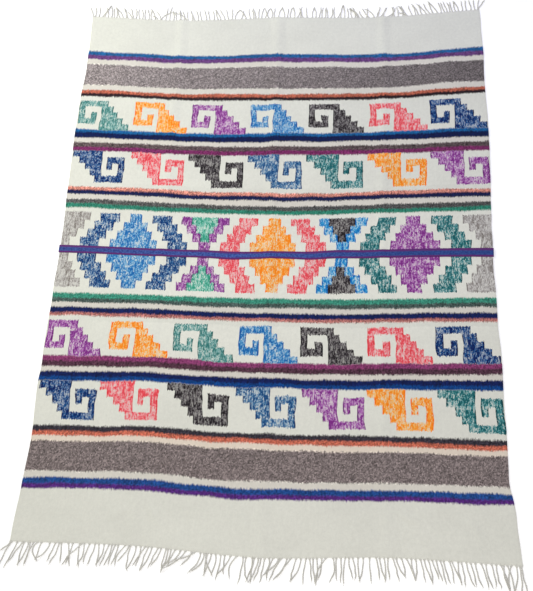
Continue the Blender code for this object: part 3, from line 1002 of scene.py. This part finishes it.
# %% Read the chart
side_noise = wool.fuzz(flat_mm, 8.0, 34.0, 4)
side_drift = wool.fuzz(flat_mm, 90.0, 90.0, 5)
side_push = wool.math("ADD", wool.push(side_noise, 4.0), wool.push(side_drift, 14.0))
across_pushed = wool.math("ADD", across_mm, side_push)
from_left = wool.math("MULTIPLY_ADD", across_pushed, 1 / WIDEST_MM, 0.5, clamp=True)
motif_along = wool.math("ADD", slow_along, wool.push(hair_noise, 15.0))

rows_start = FRET_ROWS[-1][1]
row_span = FRET_ROWS[0][0] - rows_start
row_knots = []
for number, (far_edge, near_edge) in enumerate(reversed(FRET_ROWS)):
    first = CHART_ROWS * number
    row_knots.append(((near_edge - rows_start) / row_span, first / ROW_TOTAL))
    row_knots.append(((far_edge - rows_start) / row_span, (first + CHART_ROWS - 1) / ROW_TOTAL))
up_share = wool.math("MULTIPLY_ADD", motif_along, 1 / row_span, -rows_start / row_span)
in_rows = wool.math("COMPARE", up_share, 0.5, 0.5)
up_rows = wool.curve(wool.math("MAXIMUM", up_share, 0.0), row_knots)
row_number = wool.math("FLOOR", wool.math("MULTIPLY_ADD", up_rows, -ROW_TOTAL, ROW_TOTAL))


def whole_groups(number, size):
    """Which group of one size a whole number falls in, and its place in the group."""
    group = wool.math("FLOOR", wool.math("DIVIDE", wool.math("ADD", number, 0.5), size))
    return group, wool.math("MULTIPLY_ADD", group, -size, number)


fret_row, chart_row = whole_groups(row_number, CHART_ROWS)
hangs = wool.math("FLOORED_MODULO", fret_row, 2.0)
row_columns = wool.curve(from_left, column_knots(0))
for row in (1, 2, 3):
    is_past = wool.math("GREATER_THAN", fret_row, row - 0.5)
    row_columns = wool.swap(is_past, row_columns, wool.curve(from_left, column_knots(row)))
even_columns = wool.math("MULTIPLY_ADD", row_columns, COLUMN_TOTAL, -COLUMN_MARGIN)
frets_before = wool.math("FLOOR", wool.math("DIVIDE", even_columns, CHART_COLUMNS))
fret_start = wool.math("MULTIPLY", frets_before, CHART_COLUMNS)
fret_share = wool.math("DIVIDE", wool.math("SUBTRACT", even_columns, fret_start), CHART_COLUMNS)


def uneven_columns(shares):
    """Place within one fret and its gap, as a share of the chart's eleven columns."""
    drawn = (CHART_COLUMNS - 1) / CHART_COLUMNS
    knots = [(share * drawn, number / CHART_COLUMNS) for number, share in enumerate(shares)]
    return wool.curve(fret_share, [*knots, (1.0, 1.0)])


standing_place = uneven_columns(COLUMN_SHARES)
hanging_place = uneven_columns([1.0 - share for share in reversed(COLUMN_SHARES)])
drawn_place = wool.swap(hangs, standing_place, hanging_place)
columns = wool.math("MULTIPLY_ADD", drawn_place, CHART_COLUMNS, fret_start)


def read_chart(column_place):
    """1 where the chart has yarn, and the number of the fret, at one place across."""
    fret_number, column = whole_groups(wool.math("FLOOR", column_place), CHART_COLUMNS)
    standing = wool.math("MULTIPLY_ADD", chart_row, CHART_COLUMNS, column)
    hanging = wool.math("SUBTRACT", LAST_SQUARE, standing)
    square = wool.swap(hangs, standing, hanging)
    # The text of the chart starts with one empty square, and half a one leads to its middle
    place = wool.math("MULTIPLY_ADD", square, 1 / len(squares), 1.5 / len(squares), clamp=True)
    return wool.ramp(place, chart_stops, "CONSTANT")[0], fret_number


def pick(number, names):
    """The colour and alpha of one figure yarn for each whole number from 0."""
    count = len(names)
    stops = [(place / count, MOTIF_YARNS[name]) for place, name in enumerate(names)]
    share = wool.math("MULTIPLY_ADD", number, 1 / count, 0.5 / count, clamp=True)
    return wool.ramp(share, stops, "CONSTANT")


# Half width of the dark line at a step, as a share of a column
STEP_LINE = 0.2
fret_here, fret_number = read_chart(columns)
just_left, _ = read_chart(wool.math("ADD", columns, -STEP_LINE))
just_right, _ = read_chart(wool.math("ADD", columns, STEP_LINE))
fret_change = wool.apart(just_left, just_right)
fret_mask = wool.math("MULTIPLY", fret_here, in_rows)
fret_line = wool.math("MULTIPLY", fret_change, fret_mask)
colour_number = wool.math("MULTIPLY_ADD", fret_row, FRETS_A_ROW, fret_number)
fret_colour, fret_open = pick(colour_number, sum(FRET_COLOURS, ()))
print("nodes so far:", len(wool.tree.nodes))

# %% [markdown]
# Stepped diamonds fill the middle, four rows above the band and four below it as in a
# mirror. Each has a slanting bar on either side, and between two of them stands an
# hourglass. Everything steps by one square a row, so one number is enough to draw it all:
# the distance to the nearest diamond's middle. Where it is small there is diamond, further
# out there is bar, and furthest there is hourglass. A curve first stretches the weave so
# that the figures fall where the real ones do.

# %% Draw the diamonds
DIAMOND_PITCH = 485.0
# From the left selvedge, and the same place in an even row of figures
DIAMOND_KNOTS = (
    (0, -253), (12, -242.5), (106, -152), (262, 0), (421, 152), (514, 242.5), (608, 333),
    (757, 485), (903, 637), (992, 727.5), (1089, 818), (1233, 970), (1399, 1122),
    (1481, 1212.5), (1500, 1233),
)
# The first bar of the near half lies further left
NEAR_KNOTS = (DIAMOND_KNOTS[0], DIAMOND_KNOTS[1], (97, -152), *DIAMOND_KNOTS[3:])
EVEN_START = DIAMOND_KNOTS[0][1]
EVEN_SPAN = DIAMOND_KNOTS[-1][1] - EVEN_START
BAND_MIDDLE_MM = -18.8
FIRST_ROW_MM = 14.2
DIAMOND_ROW_MM = 30.9


def even_share(knots):
    """Where a place across would lie if all figures of a row were as wide."""
    shares = [(place / WIDEST_MM, (even - EVEN_START) / EVEN_SPAN) for place, even in knots]
    return wool.curve(from_left, shares)


in_far_half = wool.math("GREATER_THAN", motif_along, BAND_MIDDLE_MM)
even_line = wool.swap(in_far_half, even_share(NEAR_KNOTS), even_share(DIAMOND_KNOTS))
even_place = wool.math("MULTIPLY_ADD", even_line, EVEN_SPAN, EVEN_START)
to_diamond = wool.math("PINGPONG", even_place, DIAMOND_PITCH / 2)
from_band = wool.apart(motif_along, BAND_MIDDLE_MM)
row_place = wool.math("DIVIDE", wool.math("SUBTRACT", from_band, FIRST_ROW_MM), DIAMOND_ROW_MM)
diamond_row = wool.math("FLOOR", wool.math("MAXIMUM", row_place, 0.0))
in_diamonds = wool.math("LESS_THAN", row_place, 4.0)


def step_edge(nearest_row, step):
    """How far a place is past an edge that steps by one square a row."""
    edge = wool.math("MULTIPLY_ADD", diamond_row, -step, nearest_row)
    return wool.math("SUBTRACT", to_diamond, edge)


# Places of the edges in the row next to the band, and how far each steps inwards a row
past_diamond = step_edge(82.0, 20.0)
past_bar_start = step_edge(118.0, 20.0)
past_bar_end = step_edge(186.0, 20.0)
past_hourglass = step_edge(221.5, 20.5)
past_filling = step_edge(243.5, 15.2)
in_diamond = wool.math("LESS_THAN", past_diamond, 0.0)
in_hourglass = wool.math("GREATER_THAN", past_hourglass, 0.0)
in_filling = wool.math("GREATER_THAN", past_filling, 0.0)
after_start = wool.math("GREATER_THAN", past_bar_start, 0.0)
before_end = wool.math("LESS_THAN", past_bar_end, 0.0)
in_bar = wool.math("MULTIPLY", after_start, before_end)
diamond_mask = wool.math("MAXIMUM", in_diamond, wool.math("MAXIMUM", in_bar, in_hourglass))
diamond_mask = wool.math("MULTIPLY", diamond_mask, in_diamonds)
nearest_edge = wool.math("ABSOLUTE", past_diamond)
for edge in (past_bar_start, past_bar_end, past_hourglass, past_filling):
    nearest_edge = wool.math("MINIMUM", nearest_edge, wool.math("ABSOLUTE", edge))
DIAMOND_LINE_MM = 3.4
at_edge = wool.math("LESS_THAN", nearest_edge, DIAMOND_LINE_MM)
diamond_line = wool.math("MULTIPLY", at_edge, diamond_mask)
print("nodes so far:", len(wool.tree.nodes))

# %% Colour the diamonds, bars and hourglasses
pitches = wool.math("DIVIDE", even_place, DIAMOND_PITCH)
diamond_number = wool.math("ROUND", pitches)
hourglass_number = wool.math("FLOOR", wool.math("ADD", pitches, 1.0))
figure_colour, figure_open = pick(diamond_number, ("indigo", "red", "teal"))
for share, number, names in (
    (in_diamond, diamond_number, ("light blue", "orange", "violet")),
    (in_hourglass, hourglass_number, ("grey", "violet", "bright blue", "grey")),
    (in_filling, hourglass_number, ("grey", "mint", "charcoal", "grey")),
):
    colour, openness = pick(number, names)
    figure_colour = wool.mix(share, figure_colour, colour)
    figure_open = wool.swap(share, figure_open, openness)
# The diamonds lie within this much of the band, and the frets beyond it
MIDDLE_REACH_MM = 160.0
in_middle = wool.math("COMPARE", along_mm, BAND_MIDDLE_MM, MIDDLE_REACH_MM)
motif_colour = wool.mix(in_middle, fret_colour, figure_colour)
motif_open = wool.swap(in_middle, fret_open, figure_open)
motif_mask = wool.swap(in_middle, fret_mask, diamond_mask)
motif_line = wool.swap(in_middle, fret_line, diamond_line)
print("nodes so far:", len(wool.tree.nodes))

# %% [markdown]
# Up close the figures aren't solid colour. White ground shows between their hairs in fine
# flecks that are longer along the warp, and pieces of a darker line of doubled yarn show at
# the sides of the steps, where the weft turned back. So a number says how deep the yarn
# lies at each place. Two sizes of random cells and two of smooth noise are added up, ground
# shows where the sum is low, and the colour is multiplied by itself where it is high.

# %% Fleck the figures
tuft_across = wool.math("MULTIPLY_ADD", tuft_noise, 6.0, across_pushed)
fleck_noise = wool.speckle(tuft_across, hairy_along, 3.0, 8.0, 6)
grain_noise = wool.speckle(tuft_across, slow_along, 2.6, 3.3, 14)
patch_noise = wool.fuzz(flat_mm, 38.0, 30.0, 7)
streak_noise = wool.fuzz(flat_mm, 6.0, 42.0, 8)
yarn_depth = 1.07
strengths = ((fleck_noise, 1.05), (grain_noise, 0.95), (patch_noise, 1.3), (streak_noise, 1.4))
for noise_socket, strength in strengths:
    yarn_depth = wool.math("ADD", yarn_depth, wool.push(noise_socket, strength))
bare = wool.math("SUBTRACT", 1.0, wool.math("MAXIMUM", yarn_depth, 0.3), clamp=True)
cover = wool.math("SUBTRACT", 1.0, wool.math("MULTIPLY", bare, motif_open))
line_noise = wool.fuzz(flat_mm, 7.0, 9.0, 9)
line_cover = wool.math("MULTIPLY", motif_line, wool.steps(line_noise, 0.35, 0.55))
motif_cover = wool.math("MAXIMUM", wool.math("MULTIPLY", cover, motif_mask), line_cover)
dense = wool.math("MAXIMUM", wool.steps(yarn_depth, 0.95, 1.5), line_cover)
dark_motif = wool.mix(1.0, motif_colour, motif_colour, "MULTIPLY")
motif_yarn = wool.mix(dense, motif_colour, dark_motif)
darkest_motif = wool.mix(1.0, dark_motif, motif_colour, "MULTIPLY")
motif_yarn = wool.mix(wool.math("MULTIPLY", line_cover, 0.6), motif_yarn, darkest_motif)
print("nodes so far:", len(wool.tree.nodes))

# %% [markdown]
# Between the figures the cream is cleaner than in the bands, most of all around the middle
# of the blanket and least at its left side. So the ground is lightened there by a long soft
# wave, only in the rows of figures, before the figures are laid over it.

# %% Lighten the ground between the figures
WAVE_MIDDLE_MM = -120.0
WAVE_HALF_MM = 600.0
from_wave = wool.apart(along_mm, WAVE_MIDDLE_MM)
wave_share = wool.math("DIVIDE", from_wave, WAVE_HALF_MM, clamp=True)
wave = wool.math("ADD", wool.math("COSINE", wool.math("MULTIPLY", wave_share, math.pi)), 1.0)
wave = wool.math("MULTIPLY", wave, wool.steps(across_mm, -800.0, -350.0))
in_fret_row = wool.math("MULTIPLY", in_rows, wool.math("LESS_THAN", chart_row, CHART_ROWS - 1.5))
in_figures = wool.math("MAXIMUM", in_middle, in_fret_row)
ground_gain = wool.swap(in_figures, 1.0, wool.math("MULTIPLY_ADD", wave, 0.04, 1.0))
patterned = wool.mix(motif_cover, wool.shade(stripe_colour, ground_gain), motif_yarn)
print("nodes so far:", len(wool.tree.nodes))

# %% [markdown]
# Heathered yarn is fleece of several greys carded together, so it shows fine light and dark
# specks, which are random cells here. In the far half the heather is painted darker towards the
# right, a painted shade that follows the fall of the light there. Dyed stripes have softer tufts
# and streaks along the warp, from brushing, and cream has nearly none. Broad soft changes go over
# everything: painted shade of the cloth's soft rumples, and finer blotches that are the wool's
# own. Last comes a bump: the nap's short hairs, with a hint of the weft's ribs under them. The
# surface is rough, with sheen, as fuzz catches light.

# %% Heather, nap and sheen
speck_noise = wool.speckle(tuft_across, slow_along, 3.5, 3.9, 10)
speck_blend = wool.math("MULTIPLY_ADD", wool.math("POWER", speck_noise, 2.0), 1.5, grain_noise)
speck = wool.math("MULTIPLY_ADD", speck_blend, 0.64, 0.36)
# Painted shade: in the far half the heather gets darker towards the right, as the light falls off
# there.
RIGHT_PAINTED_SHADE = -0.00045
painted_shade_slope = wool.math("MULTIPLY", in_far_half, RIGHT_PAINTED_SHADE)
speck = wool.math("MULTIPLY", speck, wool.math("MULTIPLY_ADD", across_mm, painted_shade_slope, 0.93))
speck_amount = wool.math("MULTIPLY", stripe_heather, wool.math("SUBTRACT", 1.0, motif_cover))
speck_level = wool.swap(speck_amount, 1.0, speck)
not_cream = wool.steps(stripe_heather, 0.0, 0.08)
dyed = wool.math("MULTIPLY", not_cream, wool.steps(stripe_heather, 1.0, 0.5))
tufts = wool.math("ADD", wool.push(speck_noise, 0.7), wool.push(grain_noise, 0.35))
tufts = wool.math("ADD", tufts, wool.push(streak_noise, 0.7))
streak_strength = wool.math("MULTIPLY_ADD", dyed, 0.95, 0.05)
streak_level = wool.math("MULTIPLY_ADD", streak_strength, tufts, 1.0)
# Painted shade of the cloth's soft rumples in the broad noise; the finer noise is the wool's own
# blotches.
rumple_shade_noise = wool.fuzz(flat_mm, 160.0, 120.0, 11, 2.0)
shade_and_mottle_noise = wool.math("ADD", rumple_shade_noise, wool.fuzz(flat_mm, 11.0, 12.0, 15, 2.0))
shade_and_mottle_level = wool.math("MULTIPLY_ADD", shade_and_mottle_noise, 0.11, 0.89)
level = wool.math("MULTIPLY", wool.math("MULTIPLY", speck_level, streak_level), shade_and_mottle_level)
wool_colour = wool.shade(patterned, level)
nap_noise = wool.fuzz(flat_mm, 1.1, 7.0, 12, 3.0)
rib_noise = wool.fuzz(flat_mm, 26.0, 3.2, 13)
nap_height = wool.math("MULTIPLY_ADD", rib_noise, 0.35, nap_noise)
surface = {"Roughness": 0.92, "Specular IOR Level": 0.2, "Sheen Weight": 0.12}
surface["Sheen Roughness"] = 0.5
wool.dress([cloth], wool_colour, nap_height, (0.4, 1.2 * MM), surface)

# %% [markdown]
# The band is close smooth weave, blue with thin purple edges, and darker towards both its
# ends. The purple reaches further into the blue on the far side. It was measured from the
# band's own middle line, so each edge stays even in width wherever the band wavers. Fine
# slanting ribs run over it.

# %% Finish the middle band
TAPE_HALF_MM = 13.0
tape = NodeHand("band_yarn")
tape_place = tape.put("ShaderNodeAttribute", {}, attribute_name=WEAVE).outputs["Vector"]
tape_mm, tape_across, tape_side = tape.stretch(tape_place, (1000.0, TAPE_HALF_MM, 0.0))
from_middle = tape.math("ABSOLUTE", tape_side)
edge_noise = tape.fuzz(tape_mm, 5.0, 5.0, 1)
ragged = tape.math("MULTIPLY_ADD", edge_noise, 2.4, from_middle)
on_far_side = tape.math("GREATER_THAN", tape_side, 0.0)
purple_share = tape.steps(ragged, tape.swap(on_far_side, 8.2, 5.2), 9.2)
dark_share = tape.steps(tape_across, -120.0, -740.0)
blue_noise = tape.fuzz(tape_mm, 7.0, 5.0, 2, 2.0)
band_blue = tape.mix(tape.steps(blue_noise, 0.3, 0.7), dye(38, 54, 134), dye(74, 106, 184))
band_blue = tape.mix(tape.math("MULTIPLY", dark_share, 0.35), band_blue, dye(26, 28, 76))
right_share = tape.math("MULTIPLY", tape.steps(tape_across, -120.0, 460.0), 0.55)
band_blue = tape.mix(right_share, band_blue, dye(14, 54, 118))
band_colour = tape.mix(purple_share, band_blue, dye(94, 36, 112))
rib_slant = tape.math("MULTIPLY", tape_side, 1.1)
rib_wave = tape.math("SINE", tape.math("MULTIPLY_ADD", tape_across, 2.2, rib_slant))
surface = {"Roughness": 0.8, "Specular IOR Level": 0.3, "Sheen Weight": 0.1}
tape.dress([band], band_colour, rib_wave, (0.35, 0.4 * MM), surface)

# %% [markdown]
# The fringe is undyed warp: cream wool, a little greyer than the ground, and palest near the
# roots. Each strand's shade is a bit different, so slow noise changes it from one strand to the
# next, and fine noise gives its fibres.

# %% Finish the fringe
warp = NodeHand("warp_yarn")
room_place = warp.put("ShaderNodeTexCoord", {}).outputs["Object"]
strand_noise = warp.fuzz(room_place, 0.016, 0.05, 1)
fibre_noise = warp.fuzz(room_place, 0.0007, 0.003, 2, 2.0)
strand_shade = warp.steps(strand_noise, 0.3, 0.7)
strand_colour = warp.mix(strand_shade, dye(206, 204, 198), dye(228, 226, 220))
warp_colour = warp.mix(warp.steps(fibre_noise, 0.25, 0.75), dye(188, 186, 178), strand_colour)
room_axes = warp.put("ShaderNodeSeparateXYZ", {0: room_place})
from_centre = warp.math("ABSOLUTE", room_axes.outputs[1])
root_share = warp.math("MULTIPLY", warp.steps(from_centre, 1.025, 0.985), 0.4)
warp_colour = warp.mix(root_share, warp_colour, dye(234, 233, 227))
surface = {"Roughness": 0.9, "Specular IOR Level": 0.2, "Sheen Weight": 0.1}
fringes = [near_fringe, far_fringe]
warp.dress(fringes, warp_colour, fibre_noise, (0.5, 0.2 * MM), surface)

# %% [markdown]
# Each new piece rides on the one body and replaces its solid, which is hidden.

for piece, node, slot in (
    (cloth, "blanket_cloth", "wool_cloth"),
    (band, "middle_band", "band_yarn"),
    (near_fringe, "fringe_near", "warp_yarn"),
    (far_fringe, "fringe_far", "warp_yarn"),
):
    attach(piece, "root")
    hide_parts(node)
